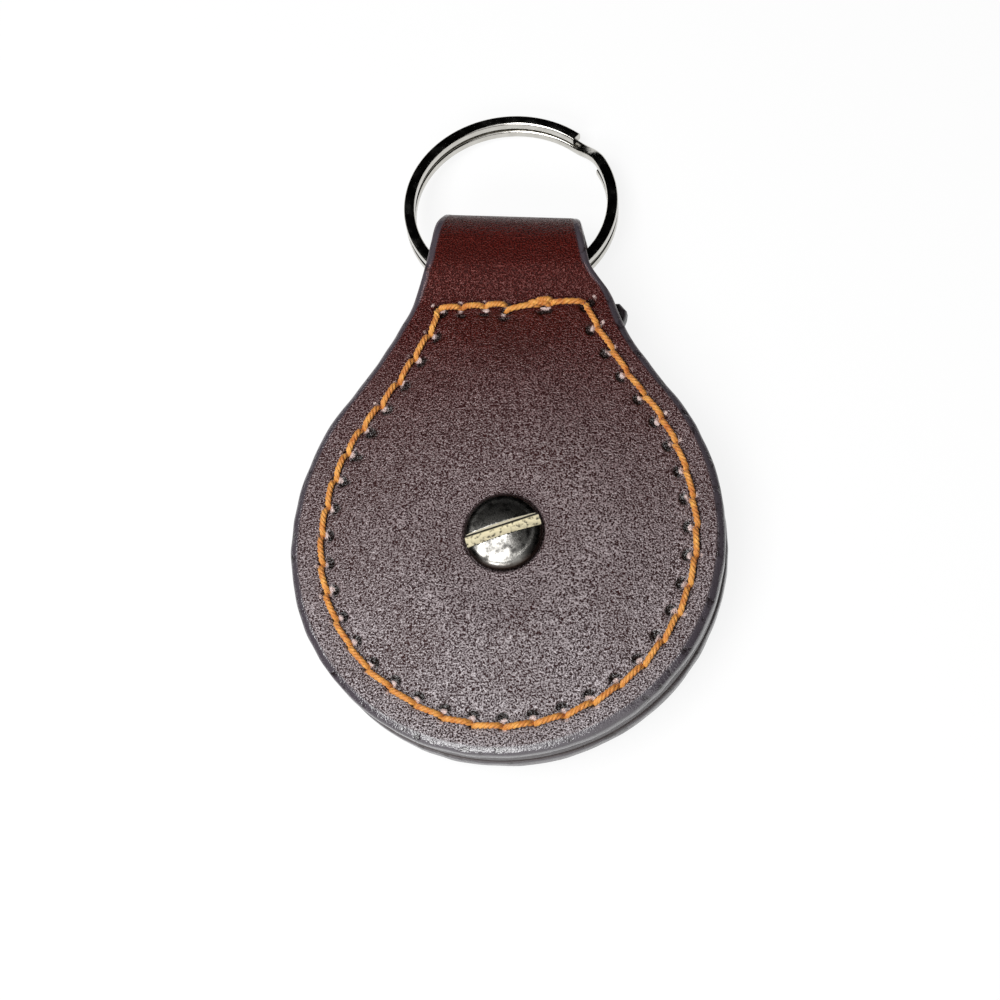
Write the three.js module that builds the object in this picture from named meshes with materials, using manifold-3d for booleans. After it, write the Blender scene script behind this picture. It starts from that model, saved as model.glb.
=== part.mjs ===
// A leather key fob on a split ring: a folded and stitched strap with a padded round body,
// held together in the middle by a slotted screw and its threaded post.
// Millimetres. The fob lies on its back: +Z is out of the front, +Y runs towards the ring,
// and the origin is on the screw's axis in the flat face of the post's head.
import * as THREE from 'three';
import { mergeVertices } from 'three/addons/utils/BufferGeometryUtils.js';
import Module from 'manifold-3d';

const wasm = await Module();
wasm.setup();

// Leather layers
const LEATHER = 2.15;
const FILLER = 2.1;
const LAYER_GAP = 0.1;
const EDGE_BEVEL = 0.45;
const FILLER_INSET = 0.2;
const CROWN = 0.8;
const CROWN_RISE = 9;
const DIMPLE = 0.35;
const DIMPLE_WIDTH = 5.5;

// Outline of the fob, from the centre of its round body
const BODY_RADIUS = 24.2;
const BODY_BELOW_SCREW = 0.5;
const SHOULDER_RADIUS = 28;
const FLARE_RADIUS = 60;
const NECK_TAPER = 0.2;

// Loop that the ring passes through
const STITCH_LINE = 28;
const LOOP_MARGIN = 0.4;
const FILLER_CLEAR_OF_RING = 0.55;
const LOOP_STRAIGHT = 2.5;
const LOOP_CLEARANCE = 0.3;
const LOOP_LEATHER = 1.35;
const NECK_CLEARANCE = 0.45;

// Stitching
const STITCH_INSET = 3.1;
const STITCH_PITCH = 3.4;
const THREAD_DIAMETER = 0.64;
const THREAD_LIFT = 0.1;
const LEG_DIAMETER = 0.44;
const LEG_GAP = 0.3;
const HOLE_CLEARANCE = 0.38;
const HOLE_SLIT = 0.7;

// Split ring
const RING_DIAMETER = 25.4;
const WIRE_WIDTH = 1.3;
const WIRE_THICKNESS = 1.1;
const TURN_GAP = 0.45;
const WIRE_ROUNDING = 0.25;
const STEP_ANGLE = THREE.MathUtils.degToRad(40);
const STEP_HALF_SPAN = THREE.MathUtils.degToRad(11);
const RING_BELOW_PIVOT = 2.2;
const RING_ASKEW = THREE.MathUtils.degToRad(4);
const RING_ASIDE = -0.6;
const RING_OFF_TABLE = 0.05;

// Screw and post
const SCREW_HEAD_DIAMETER = 9.2;
const SCREW_HEAD_HEIGHT = 1.75;
const SCREW_HEAD_RIM = 0.8;
const SCREW_SHANK_DIAMETER = 3.8;
const SHANK_BOTTOM_GAP = 0.8;
const SLOT_WIDTH = 1.5;
const SLOT_DEPTH = 0.95;
const SLOT_ANGLE = THREE.MathUtils.degToRad(17);
const POST_HEAD_DIAMETER = 9.5;
const POST_HEAD_ROUND = 0.9;
const POST_HEAD_HEIGHT = 1.4;
const POST_BARREL_DIAMETER = 5;
const POST_FLOOR = 0.6;
const THREAD_CLEARANCE = 0.14;
const BARREL_CLEARANCE = 0.3;
const HEAD_CLEARANCE = 0.2;
const HEAD_SINK = 0.3;
const SEAT_GAP = 0.06;
const BARREL_TOP_GAP = 0.4;

// Padding
const PAD_MARGIN = 5.2;
const PAD_CLEARANCE = 0.3;

// Facets
const PANEL_COLUMNS = 10;
const BODY_ROWS = 11;
const NECK_ROWS = 8;
const FOLD_STEPS = 8;
const FIRST_ROW = THREE.MathUtils.degToRad(3);
const OUTLINE_SAMPLES = 240;
const TURN_STEPS = 40;
const THREAD_SIDES = 5;
const STEPS_PER_STITCH = 2;
const ROUND_SEGMENTS = 32;
const DOME_STEPS = 5;
const HEAD_EDGE_STEPS = 3;
const PAD_SEGMENTS = 24;
const PAD_RINGS = 5;

// Ring and the bore that it swings in
const TURN_PITCH = WIRE_THICKNESS + TURN_GAP;
const RING_THICKNESS = TURN_PITCH + WIRE_THICKNESS;
const WIRE_RADIUS = (RING_DIAMETER - WIRE_WIDTH) / 2;
const RING_BORE_RADIUS = RING_DIAMETER / 2 - WIRE_WIDTH;
const PIVOT_TO_RING = WIRE_RADIUS - RING_BELOW_PIVOT;
const SWEPT_RADIUS = Math.hypot(RING_BELOW_PIVOT + WIRE_WIDTH / 2, RING_THICKNESS / 2);
const LOOP_BORE_RADIUS = SWEPT_RADIUS + LOOP_CLEARANCE;
const LOOP_RADIUS = LOOP_BORE_RADIUS + LOOP_LEATHER;

// Heights of the layers, from the flat face of the post's head
const INNER_HALF = FILLER / 2 + LAYER_GAP;
const RIM_HALF = INNER_HALF + LEATHER;
const SEAT_HALF = RIM_HALF + CROWN - DIMPLE - HEAD_SINK;
const MID_LEVEL = POST_HEAD_HEIGHT + SEAT_GAP + SEAT_HALF;

// Stations along the fob
const THREAD_RADIUS = THREAD_DIAMETER / 2;
const HOLE_WIDTH = LEG_DIAMETER + 2 * HOLE_CLEARANCE;
const HOLE_LENGTH = HOLE_WIDTH + HOLE_SLIT;
const BODY_CENTRE_Y = -BODY_BELOW_SCREW;
const STITCH_Y = BODY_CENTRE_Y + STITCH_LINE;
const LOOP_Y = STITCH_Y + HOLE_WIDTH / 2 + LOOP_MARGIN;
const PIVOT_Y = LOOP_Y + FILLER_CLEAR_OF_RING + LOOP_BORE_RADIUS;
const FOLD_Y = PIVOT_Y + LOOP_STRAIGHT;
const FOLD_TOP_Y = FOLD_Y + LOOP_RADIUS;
const PAD_RADIUS = BODY_RADIUS - BODY_BELOW_SCREW - STITCH_INSET - PAD_MARGIN;

const smooth = (t) => THREE.MathUtils.smoothstep(t, 0, 1);

// The neck goes through the ring: at the pivot its bevelled edge just clears the ring's bore.
const ringChord = Math.sqrt(RING_BORE_RADIUS ** 2 - (PIVOT_TO_RING - LOOP_BORE_RADIUS) ** 2);
const NECK_HALF_WIDTH = ringChord + EDGE_BEVEL - NECK_CLEARANCE;

// The flare is an arc that leaves the shoulder smoothly and ends at the neck.
const shoulder = new THREE.Vector2(BODY_RADIUS - SHOULDER_RADIUS, BODY_CENTRE_Y);
const neckEnd = new THREE.Vector2(NECK_HALF_WIDTH, PIVOT_Y);
const toNeck = neckEnd.clone().sub(shoulder);
const flareReach = SHOULDER_RADIUS + FLARE_RADIUS;
const flareOpening = Math.acos((flareReach ** 2 + toNeck.lengthSq() - FLARE_RADIUS ** 2)
  / (2 * flareReach * toNeck.length()));
const flareTurn = toNeck.angle() - flareOpening;
const flare = shoulder.clone().add(
  new THREE.Vector2(Math.cos(flareTurn), Math.sin(flareTurn)).multiplyScalar(flareReach));
const FLARE_Y = shoulder.y + SHOULDER_RADIUS * Math.sin(flareTurn);

// Half width of the fob at a height: round body, fuller shoulders, concave flare, tapered neck.
function halfWidth(y) {
  const up = y - BODY_CENTRE_Y;
  if (up <= 0) return Math.sqrt(BODY_RADIUS ** 2 - up ** 2);
  if (y <= FLARE_Y) return shoulder.x + Math.sqrt(SHOULDER_RADIUS ** 2 - up ** 2);
  if (y <= PIVOT_Y) return flare.x - Math.sqrt(FLARE_RADIUS ** 2 - (y - flare.y) ** 2);
  return NECK_HALF_WIDTH - NECK_TAPER * (y - PIVOT_Y);
}

// Rows of the strap, from the bottom of the body up to the start of the loop.
const rowHeights = [];
for (let i = 0; i <= BODY_ROWS; i += 1) {
  const turn = THREE.MathUtils.lerp(FIRST_ROW, Math.PI / 2, i / BODY_ROWS);
  rowHeights.push(BODY_CENTRE_Y - BODY_RADIUS * Math.cos(turn));
}
for (let i = 1; i <= NECK_ROWS; i += 1) {
  rowHeights.push(THREE.MathUtils.lerp(BODY_CENTRE_Y, LOOP_Y, i / NECK_ROWS));
}

// Right-hand edge of the fob as close points, for distances and for the stitch line.
const edgePoints = [];
for (let i = 0; i <= OUTLINE_SAMPLES; i += 1) {
  const share = i / OUTLINE_SAMPLES;
  if (share < 0.5) {
    const turn = share * Math.PI;
    const y = BODY_CENTRE_Y - BODY_RADIUS * Math.cos(turn);
    edgePoints.push(new THREE.Vector2(halfWidth(y), y));
  } else {
    const y = THREE.MathUtils.lerp(BODY_CENTRE_Y, FOLD_TOP_Y, share * 2 - 1);
    edgePoints.push(new THREE.Vector2(halfWidth(y), y));
  }
}

function insetFromEdge(x, y) {
  const point = new THREE.Vector2(Math.abs(x), y);
  let least = Infinity;
  for (const edge of edgePoints) least = Math.min(least, edge.distanceTo(point));
  return Math.min(least, STITCH_INSET + STITCH_Y - y);
}

// Height of the padded face over its rim: it rises inside the stitches and dips at the screw.
const CROWN_START = STITCH_INSET + HOLE_LENGTH / 2;
const HEAD_RADIUS = Math.max(SCREW_HEAD_DIAMETER, POST_HEAD_DIAMETER) / 2;
function crownAt(x, y) {
  const rise = CROWN * smooth((insetFromEdge(x, y) - CROWN_START) / CROWN_RISE);
  const dip = DIMPLE * (1 - smooth((Math.hypot(x, y) - HEAD_RADIUS) / DIMPLE_WIDTH));
  return Math.max(0, rise - dip);
}

function solidOf(geometry) {
  const plain = geometry.clone();
  plain.deleteAttribute('normal');
  plain.deleteAttribute('uv');
  const welded = mergeVertices(plain, 1e-5);
  return new wasm.Manifold(new wasm.Mesh({
    numProp: 3,
    vertProperties: new Float32Array(welded.attributes.position.array),
    triVerts: new Uint32Array(welded.index.array),
  }));
}

function geometryOf(solid) {
  const mesh = solid.getMesh();
  const geometry = new THREE.BufferGeometry();
  geometry.setAttribute('position', new THREE.BufferAttribute(mesh.vertProperties, 3));
  geometry.setIndex(new THREE.BufferAttribute(mesh.triVerts, 1));
  geometry.computeVertexNormals();
  return geometry;
}

// A solid from rings of points, each ring joined to the next, closed by caps or onto its start.
function solidFromRings(rings, closed) {
  const size = rings[0].length;
  const positions = rings.flat().flatMap((point) => point.toArray());
  const index = [];
  const spans = closed ? rings.length : rings.length - 1;
  for (let i = 0; i < spans; i += 1) {
    const here = i * size;
    const next = ((i + 1) % rings.length) * size;
    for (let j = 0; j < size; j += 1) {
      const k = (j + 1) % size;
      index.push(here + j, here + k, next + k, here + j, next + k, next + j);
    }
  }
  if (!closed) {
    const last = (rings.length - 1) * size;
    for (let j = 1; j < size - 1; j += 1) {
      index.push(0, j + 1, j);
      index.push(last, last + j, last + j + 1);
    }
  }
  const geometry = new THREE.BufferGeometry();
  geometry.setAttribute('position', new THREE.Float32BufferAttribute(positions, 3));
  geometry.setIndex(index);
  return geometry;
}

const material = (color, roughness, metalness) =>
  new THREE.MeshStandardMaterial({ color, roughness, metalness });
const keyRing = new THREE.Group();
function addPiece(parent, name, geometry, look) {
  const mesh = new THREE.Mesh(geometry, look);
  mesh.name = name;
  parent.add(mesh);
  return mesh;
}

// Stitch holes: one run goes across the neck and one round the body, with a hole at each corner.
function chain(points) {
  const path = new THREE.CurvePath();
  for (let i = 0; i < points.length - 1; i += 1) {
    path.add(new THREE.LineCurve(points[i], points[i + 1]));
  }
  return path;
}
function stitchRuns() {
  const right = [];
  for (let i = 1; i < edgePoints.length - 1; i += 1) {
    const along = edgePoints[i + 1].clone().sub(edgePoints[i - 1]).normalize();
    const inwards = new THREE.Vector2(-along.y, along.x);
    const point = edgePoints[i].clone().addScaledVector(inwards, STITCH_INSET);
    if (point.x > 0 && point.y < STITCH_Y) right.push(point);
  }
  const corner = new THREE.Vector2(right.at(-1).x, STITCH_Y);
  const half = [...right, corner];
  const left = half.map((point) => new THREE.Vector2(-point.x, point.y)).reverse();
  return [chain([corner, left[0]]), chain([...left, ...half])];
}
const [neckRun, bodyRun] = stitchRuns();
const neckStitches = Math.round(neckRun.getLength() / STITCH_PITCH);
const bodyStitches = Math.round(bodyRun.getLength() / STITCH_PITCH);
const stitchCount = neckStitches + bodyStitches;
const spacing = Math.min(neckRun.getLength() / neckStitches, bodyRun.getLength() / bodyStitches);
function stitchPoint(stitch) {
  const along = THREE.MathUtils.euclideanModulo(stitch, stitchCount);
  if (along < neckStitches) return neckRun.getPointAt(along / neckStitches);
  return bodyRun.getPointAt((along - neckStitches) / bodyStitches);
}
const stitchHoles = [];
for (let i = 0; i < stitchCount; i += 1) {
  const before = stitchPoint(i - HOLE_LENGTH / STITCH_PITCH / 2);
  const after = stitchPoint(i + HOLE_LENGTH / STITCH_PITCH / 2);
  stitchHoles.push({ at: stitchPoint(i), turn: after.sub(before).angle() });
}

function holeCutters(bottom, top) {
  return stitchHoles.map(({ at, turn }) => {
    const hole = new THREE.CylinderGeometry(1, 1, top - bottom, 4).rotateX(Math.PI / 2);
    hole.scale(HOLE_LENGTH / 2, HOLE_WIDTH / 2, 1).rotateZ(turn);
    hole.translate(at.x, at.y, (top + bottom) / 2);
    return solidOf(hole);
  });
}

function drilled(solid, cutters) {
  return cutters.reduce((rest, cutter) => rest.subtract(cutter), solid);
}

function roundCutter(radius, bottom, top) {
  const cylinder = new THREE.CylinderGeometry(radius, radius, top - bottom, ROUND_SEGMENTS);
  cylinder.rotateX(Math.PI / 2).translate(0, 0, (top + bottom) / 2);
  return solidOf(cylinder);
}

// Strap: one section swept from the bottom of the front panel, over the fold, down the back panel.
function strapStations() {
  const stations = [];
  for (const y of rowHeights) {
    stations.push({ outer: [y, RIM_HALF], inner: [y, INNER_HALF], crowned: true });
  }
  const reach = PIVOT_Y - LOOP_Y;
  const lean = Math.atan2(INNER_HALF, reach);
  const slope = Math.asin(LOOP_BORE_RADIUS / Math.hypot(reach, INNER_HALF)) - lean;
  const onBore = (centre, turn, radius) =>
    [centre + radius * Math.cos(turn), radius * Math.sin(turn)];
  for (const share of [0, 0.5]) {
    const turn = Math.PI / 2 + slope * (1 - share);
    stations.push({
      outer: onBore(PIVOT_Y, turn, LOOP_RADIUS),
      inner: onBore(PIVOT_Y, turn, LOOP_BORE_RADIUS),
    });
  }
  stations.push({ outer: [PIVOT_Y, LOOP_RADIUS], inner: [PIVOT_Y, LOOP_BORE_RADIUS] });
  for (let i = 0; i <= FOLD_STEPS / 2; i += 1) {
    const turn = (Math.PI / 2) * (1 - (2 * i) / FOLD_STEPS);
    stations.push({
      outer: onBore(FOLD_Y, turn, LOOP_RADIUS),
      inner: onBore(FOLD_Y, turn, LOOP_BORE_RADIUS),
    });
  }
  return stations;
}

function strapRing({ outer, inner, crowned }, side) {
  const place = (x, [y, half], lift) =>
    new THREE.Vector3(x, y, MID_LEVEL + side * (half + lift));
  const raised = (x, level) => place(x, level, crowned ? crownAt(x, level[0]) : 0);
  const away = new THREE.Vector2(outer[0] - inner[0], outer[1] - inner[1]).setLength(EDGE_BEVEL);
  const outerEdge = [outer[0] - away.x, outer[1] - away.y];
  const innerEdge = [inner[0] + away.x, inner[1] + away.y];
  const columns = Array.from({ length: PANEL_COLUMNS + 1 }, (_, j) => (2 * j) / PANEL_COLUMNS - 1);
  const across = (level) => halfWidth(level[0]) - EDGE_BEVEL;
  const face = columns.map((share) => raised(share * across(outer), outer));
  const back = columns.map((share) => raised(share * across(inner), inner)).reverse();
  return [
    ...face,
    place(halfWidth(outerEdge[0]), outerEdge, 0),
    place(halfWidth(innerEdge[0]), innerEdge, 0),
    ...back,
    place(-halfWidth(innerEdge[0]), innerEdge, 0),
    place(-halfWidth(outerEdge[0]), outerEdge, 0),
  ];
}

function leatherStrap() {
  const stations = strapStations();
  const front = stations.map((station) => strapRing(station, 1));
  const back = stations.slice(0, -1).map((station) => strapRing(station, -1)).reverse();
  const strap = solidOf(solidFromRings([...front, ...back], false));
  const far = RIM_HALF + CROWN + HEAD_SINK;
  const barrelHole = POST_BARREL_DIAMETER / 2 + BARREL_CLEARANCE;
  const cutters = [
    roundCutter(barrelHole, MID_LEVEL - far, MID_LEVEL + far),
    roundCutter(SCREW_HEAD_DIAMETER / 2 + HEAD_CLEARANCE, MID_LEVEL + SEAT_HALF, MID_LEVEL + far),
    roundCutter(POST_HEAD_DIAMETER / 2 + HEAD_CLEARANCE, MID_LEVEL - far, MID_LEVEL - SEAT_HALF),
    ...holeCutters(MID_LEVEL - far, MID_LEVEL + far),
  ];
  return geometryOf(drilled(strap, cutters));
}
addPiece(keyRing, 'leather_strap', leatherStrap(), material(0x4a2d2b, 0.55, 0));

// Filler: a flat layer of the same outline, cut out for the pad, ending just past the stitches.
function leatherFiller() {
  const shape = new THREE.Shape();
  const edge = rowHeights.filter((y) => y < LOOP_Y).concat(LOOP_Y - LAYER_GAP);
  const right = edge.map((y) => new THREE.Vector2(halfWidth(y) - FILLER_INSET, y));
  const left = right.map((point) => new THREE.Vector2(-point.x, point.y)).reverse();
  shape.setFromPoints([...right, ...left]);
  const cutOut = new THREE.Path();
  cutOut.absarc(0, 0, PAD_RADIUS + PAD_CLEARANCE, 0, Math.PI * 2);
  shape.holes.push(cutOut);
  const layer = new THREE.ExtrudeGeometry(shape, {
    depth: FILLER, bevelEnabled: false, curveSegments: ROUND_SEGMENTS,
  });
  layer.translate(0, 0, MID_LEVEL - FILLER / 2);
  const cutters = holeCutters(MID_LEVEL - FILLER, MID_LEVEL + FILLER);
  return geometryOf(drilled(solidOf(layer), cutters));
}
addPiece(keyRing, 'leather_filler', leatherFiller(), material(0x6b5552, 0.7, 0));

// Pad: a round cushion that fills the crown between the panels, with a hole for the post.
function paddingDisc() {
  const hole = POST_BARREL_DIAMETER / 2 + BARREL_CLEARANCE;
  const top = [];
  for (let i = 0; i <= PAD_RINGS; i += 1) {
    const radius = THREE.MathUtils.lerp(hole, PAD_RADIUS, i / PAD_RINGS);
    const lowest = Math.min(crownAt(radius, 0), crownAt(0, -radius), crownAt(0, radius));
    const half = INNER_HALF + lowest - PAD_CLEARANCE;
    top.push(new THREE.Vector2(radius, half));
  }
  const bottom = top.map((point) => new THREE.Vector2(point.x, -point.y));
  const profile = [...bottom, ...top.reverse(), bottom[0]];
  const pad = new THREE.LatheGeometry(profile, PAD_SEGMENTS);
  pad.rotateX(Math.PI / 2).translate(0, 0, MID_LEVEL);
  return geometryOf(solidOf(pad));
}
addPiece(keyRing, 'padding_disc', paddingDisc(), material(0xb9a98c, 0.9, 0));

// Threads: a run over the face that rises between the holes, with a leg in each hole.
function stitchThread(side) {
  const faceLevel = RIM_HALF + THREAD_RADIUS + THREAD_LIFT;
  const dip = Math.min(THREAD_RADIUS, THREAD_LIFT / (1 - HOLE_LENGTH / spacing));
  const count = stitchCount * STEPS_PER_STITCH;
  const rings = [];
  for (let i = 0; i < count; i += 1) {
    const inHole = i % STEPS_PER_STITCH === 0;
    const at = stitchPoint(i / STEPS_PER_STITCH);
    const ahead = stitchPoint((i + 0.5) / STEPS_PER_STITCH);
    const along = ahead.sub(stitchPoint((i - 0.5) / STEPS_PER_STITCH)).normalize();
    const level = MID_LEVEL + side * (inHole ? faceLevel - dip : faceLevel);
    const ring = [];
    for (let j = 0; j < THREAD_SIDES; j += 1) {
      const turn = (j * Math.PI * 2) / THREAD_SIDES;
      const out = THREAD_RADIUS * Math.sin(turn);
      const up = side * THREAD_RADIUS * Math.cos(turn);
      ring.push(new THREE.Vector3(
        at.x + side * out * along.y, at.y - side * out * along.x, level + up));
    }
    rings.push(ring);
  }
  const legEnd = LEG_GAP / 2;
  const length = faceLevel - dip - legEnd;
  const run = solidOf(solidFromRings(rings, true));
  const legs = stitchHoles.map(({ at, turn }) => {
    const leg = new THREE.CylinderGeometry(LEG_DIAMETER / 2, LEG_DIAMETER / 2, length, 4);
    leg.rotateX(Math.PI / 2).rotateZ(turn + Math.PI / 4);
    leg.translate(at.x, at.y, MID_LEVEL + side * (legEnd + length / 2));
    return solidOf(leg);
  });
  return geometryOf(legs.reduce((whole, leg) => whole.add(leg), run));
}
addPiece(keyRing, 'needle_thread', stitchThread(1), material(0xd78c32, 0.75, 0));
addPiece(keyRing, 'bobbin_thread', stitchThread(-1), material(0xd78c32, 0.75, 0));

// Split ring: one flat wire, two turns, stepping from the front turn to the rear one.
function splitRing() {
  const start = STEP_ANGLE + STEP_HALF_SPAN;
  const end = STEP_ANGLE + Math.PI * 4 - STEP_HALF_SPAN;
  const stepAt = STEP_ANGLE + Math.PI * 2;
  const steps = TURN_STEPS * 2;
  const wide = WIRE_WIDTH / 2;
  const thick = WIRE_THICKNESS / 2;
  const section = [
    [wide - WIRE_ROUNDING, -thick], [wide, -thick + WIRE_ROUNDING],
    [wide, thick - WIRE_ROUNDING], [wide - WIRE_ROUNDING, thick],
    [-wide + WIRE_ROUNDING, thick], [-wide, thick - WIRE_ROUNDING],
    [-wide, -thick + WIRE_ROUNDING], [-wide + WIRE_ROUNDING, -thick],
  ];
  const wireAt = (turn) => {
    const across = smooth((turn - stepAt + STEP_HALF_SPAN) / (2 * STEP_HALF_SPAN));
    const level = TURN_PITCH * (0.5 - across);
    return section.map(([out, up]) => new THREE.Vector3(
      (WIRE_RADIUS + out) * Math.cos(turn), (WIRE_RADIUS + out) * Math.sin(turn), level + up));
  };
  const rings = [];
  for (let i = 0; i <= steps; i += 1) {
    rings.push(wireAt(THREE.MathUtils.lerp(start, end, i / steps)).reverse());
  }
  let gap = Infinity;
  const apart = Math.PI * 2;
  for (let turn = start; turn <= end - apart; turn += STEP_HALF_SPAN / 8) {
    for (const near of wireAt(turn)) {
      for (const far of wireAt(turn + apart)) gap = Math.min(gap, near.distanceTo(far));
    }
  }
  console.log(`split ring: least gap between turns ${gap.toFixed(2)} mm`);
  return solidFromRings(rings, false);
}

// The ring's far side lies on the table: its droop is found from the height of its pivot.
function ringDroop() {
  const lowest = (droop) => {
    const upright = Math.cos(RING_ASKEW) * Math.cos(droop);
    const drop = PIVOT_TO_RING * Math.sin(droop) + RING_ASIDE * Math.sin(RING_ASKEW) * Math.cos(droop);
    const edge = (RING_DIAMETER / 2) * Math.sqrt(1 - upright ** 2);
    return MID_LEVEL - drop - edge - (RING_THICKNESS / 2) * upright;
  };
  let low = 0;
  let high = Math.PI / 3;
  for (let i = 0; i < 50; i += 1) {
    const middle = (low + high) / 2;
    if (lowest(middle) > RING_OFF_TABLE) low = middle;
    else high = middle;
  }
  return low;
}
const ringPivot = new THREE.Group();
ringPivot.position.set(0, PIVOT_Y, MID_LEVEL);
ringPivot.rotation.set(-ringDroop(), RING_ASKEW, 0);
keyRing.add(ringPivot);
const ring = addPiece(ringPivot, 'split_ring', splitRing(), material(0xb9babd, 0.2, 1));
ring.position.set(RING_ASIDE, PIVOT_TO_RING, 0);

// Screw: domed head with a slot, sunk a little into the front, and a shank in the post's bore.
const nickel = () => material(0xc9c6bf, 0.22, 1);
const BORE_FLOOR = POST_HEAD_HEIGHT + POST_FLOOR;
function slottedScrew() {
  const seat = MID_LEVEL + SEAT_HALF + SEAT_GAP;
  const radius = SCREW_HEAD_DIAMETER / 2;
  const shank = SCREW_SHANK_DIAMETER / 2;
  const rimTop = seat + SCREW_HEAD_RIM;
  const top = seat + SCREW_HEAD_HEIGHT;
  const profile = [
    new THREE.Vector2(0, BORE_FLOOR + SHANK_BOTTOM_GAP),
    new THREE.Vector2(shank, BORE_FLOOR + SHANK_BOTTOM_GAP),
    new THREE.Vector2(shank, seat),
    new THREE.Vector2(radius, seat),
    new THREE.Vector2(radius, rimTop),
  ];
  const rise = top - rimTop;
  const domeRadius = (radius ** 2 + rise ** 2) / (2 * rise);
  const domeAngle = Math.asin(radius / domeRadius);
  for (let i = DOME_STEPS - 1; i >= 0; i -= 1) {
    const turn = (domeAngle * i) / DOME_STEPS;
    const drop = domeRadius * (1 - Math.cos(turn));
    profile.push(new THREE.Vector2(domeRadius * Math.sin(turn), top - drop));
  }
  const body = new THREE.LatheGeometry(profile, ROUND_SEGMENTS).rotateX(Math.PI / 2);
  const slot = new THREE.BoxGeometry(SCREW_HEAD_DIAMETER * 2, SLOT_WIDTH, SLOT_DEPTH * 2);
  slot.rotateZ(SLOT_ANGLE).translate(0, 0, top);
  return geometryOf(solidOf(body).subtract(solidOf(slot)));
}
addPiece(keyRing, 'slotted_screw', slottedScrew(), nickel());

// Post: a flat head on the back, and a barrel with a blind bore for the screw.
function screwPost() {
  const seat = POST_HEAD_HEIGHT;
  const radius = POST_HEAD_DIAMETER / 2;
  const barrel = POST_BARREL_DIAMETER / 2;
  const bore = SCREW_SHANK_DIAMETER / 2 + THREAD_CLEARANCE;
  const top = MID_LEVEL + SEAT_HALF - BARREL_TOP_GAP;
  const profile = [new THREE.Vector2(0, 0)];
  for (let i = 0; i <= HEAD_EDGE_STEPS; i += 1) {
    const turn = (Math.PI / 2) * (i / HEAD_EDGE_STEPS);
    const out = radius - POST_HEAD_ROUND * (1 - Math.sin(turn));
    profile.push(new THREE.Vector2(out, POST_HEAD_ROUND * (1 - Math.cos(turn))));
  }
  profile.push(new THREE.Vector2(radius, seat));
  profile.push(new THREE.Vector2(barrel, seat));
  profile.push(new THREE.Vector2(barrel, top));
  profile.push(new THREE.Vector2(bore, top));
  profile.push(new THREE.Vector2(bore, BORE_FLOOR));
  profile.push(new THREE.Vector2(0, BORE_FLOOR));
  const post = new THREE.LatheGeometry(profile, ROUND_SEGMENTS).rotateX(Math.PI / 2);
  return geometryOf(solidOf(post));
}
addPiece(keyRing, 'screw_post', screwPost(), nickel());

export default keyRing;
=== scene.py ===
"""A leather key fob on a split ring: the looks of each piece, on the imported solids."""
import math

import bmesh
import bpy
from mathutils import Matrix, Vector, kdtree, noise


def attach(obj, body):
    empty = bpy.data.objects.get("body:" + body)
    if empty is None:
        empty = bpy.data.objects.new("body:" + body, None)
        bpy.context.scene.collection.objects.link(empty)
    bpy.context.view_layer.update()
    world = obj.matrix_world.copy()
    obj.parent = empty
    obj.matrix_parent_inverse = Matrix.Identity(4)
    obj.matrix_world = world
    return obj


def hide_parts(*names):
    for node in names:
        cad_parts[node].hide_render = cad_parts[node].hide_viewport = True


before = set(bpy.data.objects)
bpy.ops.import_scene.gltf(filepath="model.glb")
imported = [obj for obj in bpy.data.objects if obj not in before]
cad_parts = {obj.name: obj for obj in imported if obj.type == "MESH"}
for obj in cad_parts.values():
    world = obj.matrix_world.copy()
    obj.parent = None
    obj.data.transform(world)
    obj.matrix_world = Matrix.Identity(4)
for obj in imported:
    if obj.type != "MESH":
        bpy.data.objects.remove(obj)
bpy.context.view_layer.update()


# Leather strap: one piece of finished cowhide about 2 mm thick, folded over the ring, so that it is the
# front panel, the loop and the back panel in one. The padding crowns both panels, the stitches pull them
# in, and the cut edges are rounded over and burnished.
mm = 0.001
mid_level = 4.91
rim_half, inner_half = 3.3, 1.15
body_radius, body_y = 24.2, -0.5
shoulder_radius, flare_radius = 28.0, 60.0
neck_half, neck_taper, pivot_y = 9.43, 0.2, 32.493
loop_start, fold_y, fold_skew = 28.1, 34.993, 0.09
loop_radius, bore_radius = 4.793, 3.443
stitch_inset, stitch_y, stitch_pitch = 3.1, 27.5, 3.4

shoulder = Vector((body_radius - shoulder_radius, body_y))
to_neck = Vector((neck_half, pivot_y)) - shoulder
flare_reach = shoulder_radius + flare_radius
flare_opening = math.acos((flare_reach**2 + to_neck.length_squared - flare_radius**2)
                          / (2 * flare_reach * to_neck.length))
flare_turn = math.atan2(to_neck.y, to_neck.x) - flare_opening
flare = shoulder + flare_reach * Vector((math.cos(flare_turn), math.sin(flare_turn)))
flare_y = shoulder.y + shoulder_radius * math.sin(flare_turn)


def half_width(y):
    """Half the strap's width: round body, fuller shoulders, hollow flare, tapered neck."""
    if y <= body_y:
        return math.sqrt(max(0.0, body_radius**2 - (y - body_y)**2))
    if y <= flare_y:
        return shoulder.x + math.sqrt(shoulder_radius**2 - (y - body_y)**2)
    if y <= pivot_y:
        return flare.x - math.sqrt(flare_radius**2 - (y - flare.y)**2)
    return neck_half - neck_taper * (y - pivot_y)


def smooth(t):
    """Eases from 0 to 1 as t does, level at both ends."""
    t = min(1.0, max(0.0, t))
    return t * t * (3 - 2 * t)


def bell(distance, width):
    """One at no distance, fading over a width."""
    return math.exp(-(distance / width)**2)


def mix(a, b, share):
    """The value at a share of the way from a to b."""
    return a + (b - a) * share


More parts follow.
